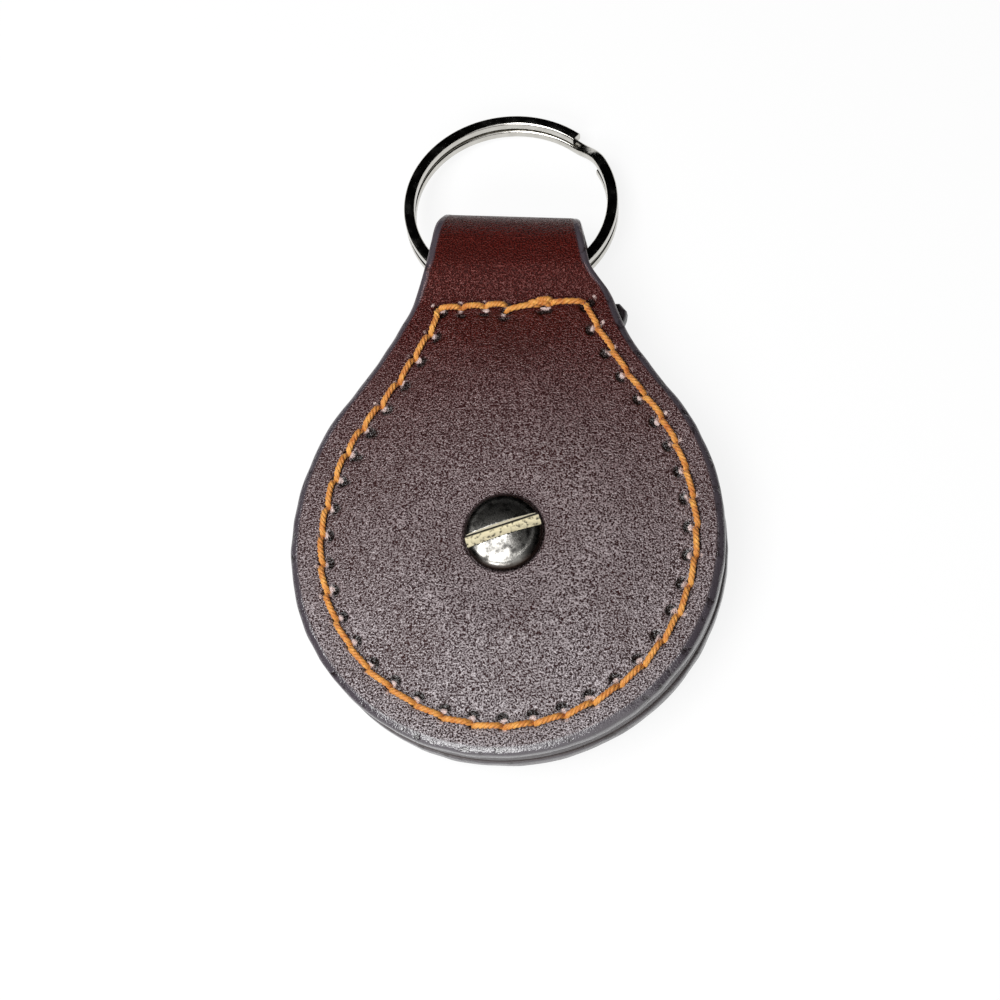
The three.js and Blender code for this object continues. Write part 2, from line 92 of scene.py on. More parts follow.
# Rows of the right half, from the edge in to a ring round the screw, and above it to the middle line.
row_step, collar_radius, collar_end = 0.27, 9.0, 12.0
body_rows, collar_rows, side_rows = round(body_radius * math.pi / 2 / row_step), 46, 68
panel_rows = []
for i in range(body_rows):
    turn = i / body_rows * math.pi / 2
    point = Vector((body_radius * math.sin(turn), body_y - body_radius * math.cos(turn)))
    panel_rows.append((point, point.normalized() * collar_radius))
for i in range(collar_rows):
    y, turn = mix(body_y, collar_end, i / collar_rows), i / collar_rows * math.pi / 2
    panel_rows.append((Vector((half_width(y), y)), collar_radius * Vector((math.cos(turn), math.sin(turn)))))
for i in range(side_rows + 1):
    share = i / side_rows
    y = mix(collar_end, loop_start, share)
    panel_rows.append((Vector((half_width(y), y)), Vector((0, mix(collar_radius, loop_start, share)))))
edge_points = [outer_end for outer_end, inner_end in panel_rows]


def finder(points):
    """A tree that finds the points nearest to a place on the panel."""
    tree = kdtree.KDTree(len(points))
    for i, point in enumerate(points):
        tree.insert(point.to_3d(), i)
    tree.balance()
    return tree


edge_tree = finder(edge_points)


def inset(x, y):
    """Distance in from the nearest edge, counted from the stitch line across the neck as well."""
    from_edge = edge_tree.find(Vector((abs(x), y, 0)))[2]
    return min(from_edge, stitch_inset + stitch_y - y)


crown, crown_start, crown_rise = 0.85, 3.3, 10.0
dimple, dimple_start, dimple_width = 0.38, 4.4, 6.0


def crown_lift(x, y):
    """How far the padding lifts the leather, less the dimple that the screw pulls into it."""
    rise = crown * smooth((inset(x, y) - crown_start) / crown_rise)
    dip = dimple * (1 - smooth((math.hypot(x, y) - dimple_start) / dimple_width))
    return max(0.0, rise - dip)


face_round, fold_round, flesh_round = 0.6, 0.3, 0.4
rim_zone, rim_share = 5.2, 0.62
inner_columns, rim_columns, flesh_columns, flesh_steps = 13, 28, 6, 3
# The trimmed edge, in shares of its rounding: how far in from the edge, and how far down from the face.
trim = ((1.3, 0.0), (1.05, 0.06), (0.8, 0.19), (0.52, 0.36), (0.26, 0.55), (0.09, 0.76), (0.0, 1.0))


def section(width, thickness, rounding):
    """One row of the strap: (distance in from the edge, depth under the face) round its section."""
    zone = min(rim_zone, rim_share * width)
    points = [(mix(width, zone, i / inner_columns), 0.0) for i in range(inner_columns)]
    points += [(mix(zone, trim[0][0] * rounding, i / rim_columns), 0.0) for i in range(rim_columns)]
    points += [(rounding * back, rounding * down) for back, down in trim]
    for i in range(flesh_steps + 1):
        turn = i / flesh_steps * math.pi / 2
        points.append((flesh_round * (1 - math.cos(turn)),
                       thickness - flesh_round * (1 - math.sin(turn))))
    points += [(mix(flesh_round, width, (i + 1) / flesh_columns), thickness)
               for i in range(flesh_columns)]
    return points


strap_rows = [("panel", ends) for ends in panel_rows]
rise_rows, straight_rows, fold_rows = 16, 9, 26
for i in range(1, rise_rows + 1):
    y = mix(loop_start, pivot_y, i / rise_rows)
    t = smooth(i / rise_rows)
    strap_rows.append(("loop", (y, mix(rim_half, loop_radius, t), y, mix(inner_half, bore_radius, t))))
for i in range(1, straight_rows + 1):
    y = mix(pivot_y, fold_y, i / straight_rows)
    strap_rows.append(("loop", (y, loop_radius, y, bore_radius)))
for i in range(1, fold_rows + 1):
    turn = math.pi / 2 * (1 - i / fold_rows)
    strap_rows.append(("loop", (fold_y + loop_radius * math.cos(turn), loop_radius * math.sin(turn),
                                fold_y + bore_radius * math.cos(turn), bore_radius * math.sin(turn))))


burnish_width, burnish_fade = 0.72, 0.25
flesh_start, flesh_fade = 0.9, 0.1


def strap_row(kind, ends):
    """Points of one row of the right half, with what the leather's finish needs to know there."""
    points = []
    if kind == "loop":
        y_out, half_out, y_in, half_in = ends
        width = half_width(y_out)
        thickness = math.hypot(y_out - y_in, half_out - half_in)
        rounding = mix(face_round, fold_round, smooth((y_out - loop_start) / (fold_y - loop_start)))
    else:
        outer_end, inner_end = ends
        width = (outer_end - inner_end).length
        thickness, rounding = rim_half - inner_half, face_round
    for from_edge, depth in section(width, thickness, rounding):
        share, through = from_edge / width, depth / thickness
        if kind == "loop":
            y = mix(y_out, y_in, through)
            x, half = half_width(y) * (1 - share), mix(half_out, half_in, through)
        else:
            x, y = outer_end.lerp(inner_end, share)
            half = mix(rim_half, inner_half, through) + crown_lift(x, y)
        edge = 1.0 if depth > 0 else 1 - smooth((from_edge - burnish_width) / burnish_fade)
        flesh = smooth((through - flesh_start) / flesh_fade)
        points.append((x, y, half, edge, flesh, 1.0 if depth == 0 else 0.0))
    return points


half_rows = [strap_row(kind, ends) for kind, ends in strap_rows]
column_count = len(half_rows[0])
both_rows = [[(x, y, mid_level + h, *rest) for x, y, h, *rest in row] for row in half_rows]
both_rows += [[(x, y, mid_level - h, *rest) for x, y, h, *rest in row] for row in reversed(half_rows[:-1])]

middle_weld, weld = 1e-6, 1e-7
bm = bmesh.new()
bmesh.ops.create_grid(bm, x_segments=column_count - 1, y_segments=len(both_rows) - 1, size=1)
edge_layer, flesh_layer, face_layer, hole_layer, burr_layer = (
    bm.verts.layers.float.new(name)
    for name in ("burnished_edge", "flesh_side", "grain_side", "stitch_hole", "stitch_burr"))
bm.verts.ensure_lookup_table()
for i, row in enumerate(both_rows):
    for j, (x, y, z, edge, flesh, face) in enumerate(row):
        vert = bm.verts[i * column_count + j]
        vert.co = Vector((x, y, z)) * mm
        vert[edge_layer], vert[flesh_layer], vert[face_layer] = edge, flesh, face
bmesh.ops.mirror(bm, geom=bm.verts[:] + bm.edges[:] + bm.faces[:], axis="X", merge_dist=middle_weld)
bmesh.ops.remove_doubles(bm, verts=bm.verts, dist=weld)

# The screw's head and the post's head press round seats into the panels, with a low lip round each.
post_hole = 2.8
seat_radius, seat_half = {1: 4.5, -1: 4.95}, {1: 3.42, -1: 3.45}
seat_steps = (3.2, 2.3, 1.5, 0.95, 0.55, 0.32, 0.18, 0.08, 0.0, -0.06, -0.25)
lip_height, lip_width = 0.07, 0.3
wall_width, wall_start = 0.2, 0.3
layer_split = (rim_half + inner_half + crown) / 2


def seat_level(side, x, y, radius):
    """Half the thickness of the panel over the seat, its step and its lip."""
    past = radius - seat_radius[side]
    half = rim_half + crown_lift(x, y) + lip_height * bell(past - lip_width, lip_width)
    return mix(min(half, seat_half[side]), half, smooth(past / wall_width + wall_start))


for side in (1, -1):
    for outer in (True, False):
        rim = []
        for rim_edge in bm.edges:
            height = side * (rim_edge.verts[0].co.z / mm - mid_level)
            if rim_edge.is_boundary and height > 0 and (height > layer_split) == outer:
                rim.append(rim_edge)
        radii = [seat_radius[side] + step for step in seat_steps] if outer else []
        for radius in radii + [post_hole]:
            made = bmesh.ops.extrude_edge_only(bm, edges=rim)["geom"]
            rim = [g for g in made if isinstance(g, bmesh.types.BMEdge) and g.is_boundary]
            for vert in (g for g in made if isinstance(g, bmesh.types.BMVert)):
                x, y = vert.co.xy.normalized() * radius
                half = seat_level(side, x, y, radius) if outer else inner_half + crown_lift(x, y)
                vert.co = Vector((x, y, mid_level + side * half)) * mm
    holes = [e for e in bm.edges if e.is_boundary and side * (e.verts[0].co.z / mm - mid_level) > 0]
    bmesh.ops.bridge_loops(bm, edges=holes)


def run_length(points):
    """The length of a run of points."""
    return sum((b - a).length for a, b in zip(points, points[1:]))


def run_point(points, share):
    """The point at a share of the length of a run of points."""
    left = share * run_length(points)
    for a, b in zip(points, points[1:]):
        step = (b - a).length
        if left <= step:
            return a.lerp(b, left / step if step else 0)
        left -= step
    return points[-1].copy()


# The seam: across the neck from its right-hand corner to its left-hand one, then all round the body. It was
# sewn a little to the right, so that it lies further in on the left and further out at the right-hand corner.
seam_left, left_ease = 0.45, 4
seam_right, right_start, right_ease = 0.5, 6, 18
fine_steps, nearby = 600, 0.03
right_run, left_run = [], []
for i, (before, here, after) in enumerate(zip(edge_points, edge_points[1:], edge_points[2:])):
    along = (after - before).normalized()
    inward = Vector((-along.y, along.x))
    point = here + (stitch_inset - seam_right * smooth((here.y - right_start) / right_ease)) * inward
    if point.x > 0 and point.y < stitch_y:
        right_run.append(point)
    point = here + (stitch_inset + seam_left * smooth(left_ease * i / len(edge_points))) * inward
    if point.x > 0 and point.y < stitch_y:
        left_run.insert(0, Vector((-point.x, point.y)))
right_run.append(Vector((right_run[-1].x, stitch_y)))
left_run.insert(0, Vector((left_run[0].x, stitch_y)))
neck_run, body_run = [right_run[-1], left_run[0]], left_run + right_run
neck_stitches = round(run_length(neck_run) / stitch_pitch)
body_stitches = round(run_length(body_run) / stitch_pitch)
stitch_count = neck_stitches + body_stitches
fine_body_run = [run_point(body_run, i / fine_steps) for i in range(fine_steps + 1)]


def seam_point(stitch):
    """The point on the seam a number of stitches on from the right-hand corner."""
    stitch %= stitch_count
    if stitch < neck_stitches:
        return run_point(neck_run, stitch / neck_stitches)
    at = (stitch - neck_stitches) / body_stitches * fine_steps
    return fine_body_run[int(at)].lerp(fine_body_run[min(fine_steps, int(at) + 1)], at % 1)


def seam_out(stitch):
    """The way out of the stitched area, square to the seam."""
    along = (seam_point(stitch + nearby) - seam_point(stitch - nearby)).normalized()
    return Vector((along.y, -along.x))


def wobble(index, seed):
    """A repeatable scatter from -1 to 1."""
    return math.sin(index * 12.9898 + seed * 78.233) * math.cos(index * 4.1414 + seed * 37.719)


# Each stitch of the front: its first and last place on the seam, how far these lie outside the seam, and
# how far it lies on top of others. Across the neck the ends of the seam were sewn over each other.
slant, slant_scatter = 0.13, 0.07
body_seam = [(i, i + 1, slant + slant_scatter * wobble(i, 1), -slant + slant_scatter * wobble(i, 2), 0.0)
             for i in range(neck_stitches, stitch_count)]
neck_seam = [(0.0, 1.32, 0.0, 0.05, 0.0), (1.52, 2.76, 0.0, -0.62, 0.0), (1.12, 1.74, 0.32, 0.2, 0.3),
             (1.2, 1.98, -0.22, 0.12, 0.22), (2.68, 3.42, 0.12, 0.08, 0.0), (3.42, 4.2, 0.08, 0.03, 0.0),
             (4.2, 5.0, 0.03, 0.0, 0.0)]
front_seam = neck_seam + body_seam
back_seam = [(i, i + 1, slant, -slant, 0.0) for i in range(stitch_count)]

# The seam lies in a shallow groove. Every stitch goes down through a slit, which is pulled into a pit, and
# on its inner side the needle tore up a pale flap with a crease behind it. The pits and creases are painted
# near black in the leather's colour, as painted shade.
groove_depth, groove_width, groove_samples = 0.12, 0.75, 6
slit_length, slit_width, slit_depth, slit_in, slit_reach = 0.45, 0.3, 0.6, 0.05, 1.9
crease_length, crease_width, crease_depth, crease_in, crease_curl = 0.65, 0.2, 0.4, 1.15, 0.5
flap_length, flap_width, flap_height, flap_off, flap_shift = 0.36, 0.3, 0.1, 0.55, 0.25
outer_flap, outer_flap_width, tear, tear_scatter = 0.5, 0.24, 0.65, 0.35
seam_tree = finder([seam_point(i / groove_samples) for i in range(groove_samples * stitch_count)])
for side, seam in ((1, front_seam), (-1, back_seam)):
    slits = [(seam_point(at) + seam_out(at) * aside, seam_out(at))
             for first, last, out_first, out_last, lift in seam if lift == 0
             for at, aside in ((first, out_first), (last, out_last))]
    slit_tree = finder([point for point, out in slits])
    for vert in bm.verts:
        height = side * (vert.co.z / mm - mid_level)
        if vert[face_layer] < 0.5 or height < 0:
            continue
        spot = vert.co.xy / mm
        height -= groove_depth * bell(seam_tree.find(spot.to_3d())[2], groove_width)
        dips = [0.0]
        for _, i, _ in slit_tree.find_range(spot.to_3d(), slit_reach):
            point, out = slits[i]
            off = spot - point
            across, along = off.dot(out), off.x * out.y - off.y * out.x
            torn = tear + tear_scatter * wobble(i, 3 + side)
            pit = bell(along, slit_length) * bell(across + slit_in, slit_width)
            crease = (bell(along, crease_length)
                      * bell(across + crease_in - crease_curl * along**2, crease_width))
            along += flap_shift * wobble(i, 7)
            flap = max(bell(across + flap_off, flap_width),
                       (outer_flap + wobble(i, 5)) * bell(across - flap_off, outer_flap_width))
            dips += [slit_depth * pit, crease_depth * crease]
            vert[hole_layer] = max(vert[hole_layer], pit, crease)
            vert[burr_layer] = max(vert[burr_layer], torn * bell(along, flap_length) * flap)
        height += flap_height * vert[burr_layer] - max(dips)
        vert.co.z = (mid_level + side * height) * mm

# The fold was pressed askew, the right-hand corner bulges over the filler, and the trimmed edge is uneven.
bulge, bulge_y, bulge_length = 0.6, 28.5, 3.2
bulge_start, bulge_ease, bulge_top, bulge_fade = 5, 4, 32, 3
edge_wave, edge_wave_length = 0.09, 2.4
bmesh.ops.recalc_face_normals(bm, faces=bm.faces)
bm.normal_update()
for vert in bm.verts:
    x, y = vert.co.xy / mm
    vert.co += edge_wave * mm * vert[edge_layer] * noise.noise(vert.co / mm / edge_wave_length) * vert.normal
    swell = bulge * mm * smooth((x - bulge_start) / bulge_ease) * bell(y - bulge_y, bulge_length)
    vert.co.x += swell * smooth((bulge_top - y) / bulge_fade)
    vert.co.y -= fold_skew * mm * smooth((y - loop_start) / (fold_y - loop_start)) * x
bmesh.ops.recalc_face_normals(bm, faces=bm.faces)


def placed(bm, name, materials):
    """Makes the mesh an object of the scene."""
    mesh = bpy.data.meshes.new(name)
    bm.to_mesh(mesh)
    bm.free()
    for material in materials:
        mesh.materials.append(material)
    thing = bpy.data.objects.new(name, mesh)
    bpy.context.scene.collection.objects.link(thing)
    return thing


def finish_piece(bm, name, materials, body, slot, *nodes):
    """Makes the mesh a piece that shades smoothly, rides its body and stands for its CAD nodes."""
    piece = placed(bm, name, materials)
    for polygon in piece.data.polygons:
        polygon.use_smooth = True
    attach(piece, body)
    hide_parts(*nodes)
    return piece


def srgb(code):
    """A hex colour as linear red, green, blue and alpha."""
    values = [int(code[i:i + 2], 16) / 255 for i in (1, 3, 5)]
    return [v / 12.92 if v <= 0.04045 else ((v + 0.055) / 1.055)**2.4 for v in values] + [1.0]


def add(tree, kind, inputs=(), **settings):
    """Adds a node with its settings, and sets or links its inputs."""
    node = tree.nodes.new(kind)
    for key, value in settings.items():
        setattr(node, key, value)
    for key, value in dict(inputs).items():
        if isinstance(value, bpy.types.NodeSocket):
            tree.links.new(value, node.inputs[key])
        else:
            node.inputs[key].default_value = value
    return node


def new_material(name):
    """A material with an empty node tree."""
    material = bpy.data.materials.new(name)
    material.use_nodes = True
    material.node_tree.nodes.clear()
    return material, material.node_tree


# Cowhide, drum dyed red-brown, printed with a fine pebble and given a semi-gloss finish: the pebbles catch
# the light as grey sparks over dark red valleys. The valleys are painted darker as painted shade, and the
# pebble tops are painted grey towards the bottom, part wear where the body is handled and part painted
# sheen. The reflection is tinted dark red towards the neck and dark in the valleys, a painted shade of the
# sheen. The burnished edge is smooth and greyer with dark nicks, and the flesh side in the loop is matt.
pebble_mm, grit_mm, mottle_mm, nick_mm, grain_depth_mm = 0.19, 0.1, 7.0, 1.3, 0.11
nick_sink, edge_roughness, flesh_roughness = -0.4, 0.18, 0.9
dyed_y, handled_sheen_y = 24, -24
red_shine_y, white_shine_y = 34, 10
leather_look, tree = new_material("plated_cowhide")
place = add(tree, "ShaderNodeTexCoord").outputs["Object"]
pebble, grit, mottle, nick = (
    add(tree, "ShaderNodeTexNoise", {"Vector": place, "Scale": 1 / (size * mm), "Detail": detail})
    for size, detail in ((pebble_mm, 0.5), (grit_mm, 1.0), (mottle_mm, 3.0), (nick_mm, 3.0)))
edge, hole, burr, flesh = (
    add(tree, "ShaderNodeAttribute", attribute_name=name).outputs["Fac"]
    for name in ("burnished_edge", "stitch_hole", "stitch_burr", "flesh_side"))
knob = add(tree, "ShaderNodeMapRange", {"Value": pebble.outputs["Fac"], "From Min": 0.32, "From Max": 0.66,
                                        "To Max": 0.7})
height = add(tree, "ShaderNodeMath", {0: grit.outputs["Fac"], 1: 0.5, 2: knob.outputs[0]},
             operation="MULTIPLY_ADD")
# Painted shade: the valleys between the pebbles take a darker colour than the tops.
wear_and_cavity_shade = add(tree, "ShaderNodeMapRange", {"Value": height.outputs[0], "From Min": 0.3, "From Max": 0.86})
patch = add(tree, "ShaderNodeMapRange", {"Value": mottle.outputs["Fac"], "From Min": 0.45, "From Max": 0.7,
                                         "To Max": 0.35})
along_fob = add(tree, "ShaderNodeSeparateXYZ", {0: place})
# Towards the bottom the pebble tops turn from dark red to grey, part wear and part painted sheen.
handled_and_sheen = add(tree, "ShaderNodeMapRange", {"Value": along_fob.outputs["Y"], "From Min": dyed_y * mm,
                                           "From Max": handled_sheen_y * mm})
# The valleys' colour is darker than the tops', as painted shade.
shaded_valley = add(tree, "ShaderNodeMix", {"Factor": handled_and_sheen.outputs[0], 6: srgb("#240807"), 7: srgb("#1E1415")},
             data_type="RGBA")
knob_wear_and_sheen = add(tree, "ShaderNodeMix", {"Factor": handled_and_sheen.outputs[0], 6: srgb("#4A1511"), 7: srgb("#9A9194")},
               data_type="RGBA")
hide = add(tree, "ShaderNodeMix", {"Factor": wear_and_cavity_shade.outputs[0], 6: shaded_valley.outputs[2], 7: knob_wear_and_sheen.outputs[2]},
           data_type="RGBA")
dyed = add(tree, "ShaderNodeMix", {"Factor": patch.outputs[0], 6: hide.outputs[2], 7: srgb("#30100D")},
           data_type="RGBA")
nicked = add(tree, "ShaderNodeMapRange", {"Value": nick.outputs["Fac"], "From Min": 0.56, "From Max": 0.68})
trimmed = add(tree, "ShaderNodeMix", {"Factor": nicked.outputs[0], 6: srgb("#453F45"), 7: srgb("#1C1516")},
              data_type="RGBA")
worn = add(tree, "ShaderNodeMix", {"Factor": edge, 6: dyed.outputs[2], 7: trimmed.outputs[2]},
           data_type="RGBA")
# Painted shade: the pits and creases at the stitch holes are coloured near black.
hole_shade_mask = add(tree, "ShaderNodeMapRange", {"Value": hole, "From Min": 0.1, "From Max": 0.45})
hole_shaded = add(tree, "ShaderNodeMix", {"Factor": hole_shade_mask.outputs[0], 6: worn.outputs[2], 7: srgb("#0B0403")},
            data_type="RGBA")
ragged = add(tree, "ShaderNodeMath", {0: grit.outputs["Fac"], 1: 0.5, 2: burr}, operation="MULTIPLY_ADD")
torn = add(tree, "ShaderNodeMapRange", {"Value": ragged.outputs[0], "From Min": 0.5, "From Max": 0.66})
frayed = add(tree, "ShaderNodeMix", {"Factor": torn.outputs[0], 6: hole_shaded.outputs[2], 7: srgb("#C4AFAA")},
             data_type="RGBA")
suede = add(tree, "ShaderNodeMix", {"Factor": flesh, 6: frayed.outputs[2], 7: srgb("#2B1D1A")},
            data_type="RGBA")
grain_left = add(tree, "ShaderNodeMapRange", {"Value": edge, "To Min": 1.0, "To Max": 0.2})
grain = add(tree, "ShaderNodeMath", {0: height.outputs[0], 1: grain_left.outputs[0]}, operation="MULTIPLY")
relief = add(tree, "ShaderNodeMath", {0: nicked.outputs[0], 1: nick_sink, 2: grain.outputs[0]},
             operation="MULTIPLY_ADD")
uneven = add(tree, "ShaderNodeMix", {"Factor": edge, 2: grain.outputs[0], 3: relief.outputs[0]})
bump = add(tree, "ShaderNodeBump", {"Height": uneven.outputs[0], "Distance": grain_depth_mm * mm,
                                    "Strength": 1.0})
polish = add(tree, "ShaderNodeMapRange", {"Value": wear_and_cavity_shade.outputs[0], "To Min": 0.45, "To Max": 0.25})
gloss = add(tree, "ShaderNodeMix", {"Factor": edge, 2: polish.outputs[0], 3: edge_roughness})
matt = add(tree, "ShaderNodeMix", {"Factor": flesh, 2: gloss.outputs[0], 3: flesh_roughness})
# Painted shade of the sheen: the reflection is tinted dark red towards the neck, and dark in the valleys.
painted_sheen_ramp = add(tree, "ShaderNodeMapRange", {"Value": along_fob.outputs["Y"], "From Min": red_shine_y * mm,
                                          "From Max": white_shine_y * mm})
sheen = add(tree, "ShaderNodeMix", {"Factor": painted_sheen_ramp.outputs[0], 6: srgb("#824A42"), 7: srgb("#FFFFFF")},
            data_type="RGBA")
shine_on = add(tree, "ShaderNodeMath", {0: wear_and_cavity_shade.outputs[0], 1: edge}, operation="MAXIMUM")
spark = add(tree, "ShaderNodeMix", {"Factor": shine_on.outputs[0], 6: srgb("#5C4644"), 7: sheen.outputs[2]},
            data_type="RGBA")
shader = add(tree, "ShaderNodeBsdfPrincipled",
             {"Base Color": suede.outputs[2], "Roughness": matt.outputs[0], "Normal": bump.outputs[0],
              "IOR": 1.52, "Specular IOR Level": 1.0, "Specular Tint": spark.outputs[2]})
add(tree, "ShaderNodeOutputMaterial", {"Surface": shader.outputs[0]})
finish_piece(bm, "folded_strap", [leather_look], "fob", "leather", "leather_strap")


# Filler: a second layer of the same leather between the panels, cut to the same outline, which shows as a
# rounded strip along the edge. It ends just past the stitches, where one corner was left proud, and has a
# round hole for the padding.
filler_thickness, filler_inset, filler_end = 2.1, 0.2, 28.4
filler_hole, filler_round, hole_margin = 15.7, 0.5, 1
outline_skip, end_gap, corner_angle, level_within = 3, 0.6, 1.0, 1e-6
proud_corner, proud_y, proud_length = 1.8, 27.6, 1.7
half_outline = [p for p in edge_points[::outline_skip] if p.y < filler_end - end_gap]
half_outline += [Vector((half_width(filler_end), filler_end))]
outline = half_outline + [Vector((-p.x, p.y)) for p in reversed(half_outline[1:])]
bm = bmesh.new()
bmesh.ops.create_circle(bm, segments=len(outline), radius=1)
bm.verts.ensure_lookup_table()
for vert, point in zip(bm.verts, outline):
    shrunk = point * (1 - filler_inset / point.length)
    if point.x > 0:
        shrunk.x += proud_corner * bell(point.y - proud_y, proud_length)
    vert.co = Vector((shrunk.x, shrunk.y, mid_level - filler_thickness / 2)) * mm
bmesh.ops.create_circle(bm, segments=len(outline), radius=filler_hole * mm,
                        matrix=Matrix.Translation((0, 0, (mid_level - filler_thickness / 2) * mm)))
bmesh.ops.bridge_loops(bm, edges=bm.edges[:])
walls = bmesh.ops.extrude_face_region(bm, geom=bm.faces[:])
bmesh.ops.translate(bm, verts=[v for v in walls["geom"] if isinstance(v, bmesh.types.BMVert)],
                    vec=(0, 0, filler_thickness * mm))
bmesh.ops.recalc_face_normals(bm, faces=bm.faces)
corners = [e for e in bm.edges if len(e.link_faces) == 2 and e.calc_face_angle() > corner_angle
           and min(v.co.xy.length for v in e.verts) > (filler_hole + hole_margin) * mm
           and abs(e.verts[0].co.z - e.verts[1].co.z) < level_within]
bmesh.ops.bevel(bm, geom=corners, offset=filler_round * mm, offset_type="OFFSET", segments=3, profile=0.5,
                affect="EDGES", material=-1)

# Cut and waxed leather edge: the fibres show as fine streaks under a dull grey-brown wax.
fibre_mm, fibre_stretch, fibre_depth_mm = 0.5, 5.0, 0.05
filler_look, tree = new_material("waxed_leather_edge")
place = add(tree, "ShaderNodeTexCoord").outputs["Object"]
fibre_place = add(tree, "ShaderNodeMapping", {"Vector": place, "Scale": (1.0, 1.0, fibre_stretch)})
fibre = add(tree, "ShaderNodeTexNoise", {"Vector": fibre_place.outputs[0], "Scale": 1 / (fibre_mm * mm),
                                         "Detail": 3.0})
waxed = add(tree, "ShaderNodeMix", {"Factor": fibre.outputs["Fac"], 6: srgb("#1B1416"), 7: srgb("#443A3F")},
            data_type="RGBA")
bump = add(tree, "ShaderNodeBump", {"Height": fibre.outputs["Fac"], "Distance": fibre_depth_mm * mm})
shader = add(tree, "ShaderNodeBsdfPrincipled", {"Base Color": waxed.outputs[2], "Roughness": 0.36,
                                                "Normal": bump.outputs[0], "Specular IOR Level": 0.7})
add(tree, "ShaderNodeOutputMaterial", {"Surface": shader.outputs[0]})
finish_piece(bm, "filler_layer", [filler_look], "fob", "leather", "leather_filler")


# Padding: a round felt pad in the filler's hole, thicker than the filler, which puffs the panels out.
# It is pierced in the middle for the post.
pad_radius, pad_hole, pad_half, pad_crown = 15.3, 2.9, 0.9, 0.62
pad_corner, pad_lip, pad_fullness, pad_steps = 0.4, 0.1, 0.8, 12
bm = bmesh.new()
pad_profile = [(pad_hole, pad_half + pad_lip)]
for i in range(1, pad_steps + 1):
    out = i / pad_steps
    pad_profile.append((mix(pad_hole, pad_radius - pad_corner, out),
                        pad_half + pad_crown * math.sin(math.pi * out)**pad_fullness))
pad_profile.append((pad_radius, pad_half - pad_corner))
loop = [bm.verts.new(Vector((r, 0, mid_level + h)) * mm) for r, h in pad_profile]
loop += [bm.verts.new(Vector((r, 0, mid_level - h)) * mm) for r, h in reversed(pad_profile)]
for a, b in zip(loop, loop[1:] + loop[:1]):
    bm.edges.new((a, b))
bmesh.ops.spin(bm, geom=bm.verts[:] + bm.edges[:], cent=(0, 0, 0), axis=(0, 0, 1), angle=math.tau, steps=72,
               use_merge=True)
bmesh.ops.recalc_face_normals(bm, faces=bm.faces)

# Pressed wool felt: pale, matt, with fibres matted every way.
felt_mm, felt_depth_mm = 0.7, 0.15
felt_look, tree = new_material("wool_felt")
place = add(tree, "ShaderNodeTexCoord").outputs["Object"]
mat = add(tree, "ShaderNodeTexNoise", {"Vector": place, "Scale": 1 / (felt_mm * mm), "Detail": 6.0,
                                       "Distortion": 1.5})
felted = add(tree, "ShaderNodeMix", {"Factor": mat.outputs["Fac"], 6: srgb("#9C8F7A"), 7: srgb("#CFC4AE")},
             data_type="RGBA")
bump = add(tree, "ShaderNodeBump", {"Height": mat.outputs["Fac"], "Distance": felt_depth_mm * mm})
shader = add(tree, "ShaderNodeBsdfPrincipled", {"Base Color": felted.outputs[2], "Roughness": 0.95,
                                                "Normal": bump.outputs[0], "Sheen Weight": 0.3})
add(tree, "ShaderNodeOutputMaterial", {"Surface": shader.outputs[0]})
pad = finish_piece(bm, "felt_pad", [felt_look], "fob", "padding", "padding_disc")


# Stitching: waxed three-ply thread, lockstitched through the layers, so that each stitch comes up one slit
# and goes down the next, and is pulled tight into the leather at both ends.
ply_count, ply_radius, twist_radius, twist_turns = 3, 0.2, 0.18, 2.1
stitch_steps = 18
stitch_heights = [(0.0, -0.8), (0.06, -0.42), (0.13, -0.02), (0.24, 0.2), (0.5, 0.28), (0.76, 0.2),
                  (0.87, -0.02), (0.94, -0.42), (1.0, -0.8)]


def height_at(share):
    """Height of a stitch over the panel at a share of its length."""
    for (a, low), (b, high) in zip(stitch_heights, stitch_heights[1:]):
        if share <= b:
            return mix(low, high, (share - a) / (b - a))
    return stitch_heights[-1][1]


def sewn_thread(name, seam, side):
    """Sews the stitches of a seam as twisted round plies, and gives them back as one mesh."""
    curve = bpy.data.curves.new(name, "CURVE")
    curve.dimensions = "3D"
    curve.bevel_depth = ply_radius * mm
    curve.bevel_resolution = 1
    curve.use_fill_caps = True
    for first, last, out_first, out_last, lift in seam:
        for ply in range(ply_count):
            spline = curve.splines.new("POLY")
            spline.points.add(stitch_steps)
            for i, point in enumerate(spline.points):
                share = i / stitch_steps
                at = mix(first, last, share)
                out = seam_out(at)
                turn = math.tau * (twist_turns * share + ply / ply_count) + first
                aside = mix(out_first, out_last, share) + twist_radius * math.cos(turn)
                spot = seam_point(at) + out * aside
                level = rim_half + height_at(share) + lift + twist_radius * math.sin(turn)
                point.co = (spot.x * mm, spot.y * mm, (mid_level + side * level) * mm, 1)
    sewn = bpy.data.objects.new(name, curve)
    bpy.context.scene.collection.objects.link(sewn)
    bpy.context.view_layer.update()
    mesh = bpy.data.meshes.new_from_object(sewn.evaluated_get(bpy.context.evaluated_depsgraph_get()))
    bpy.data.objects.remove(sewn)
    bm = bmesh.new()
    bm.from_mesh(mesh)
    bpy.data.meshes.remove(mesh)
    return bm


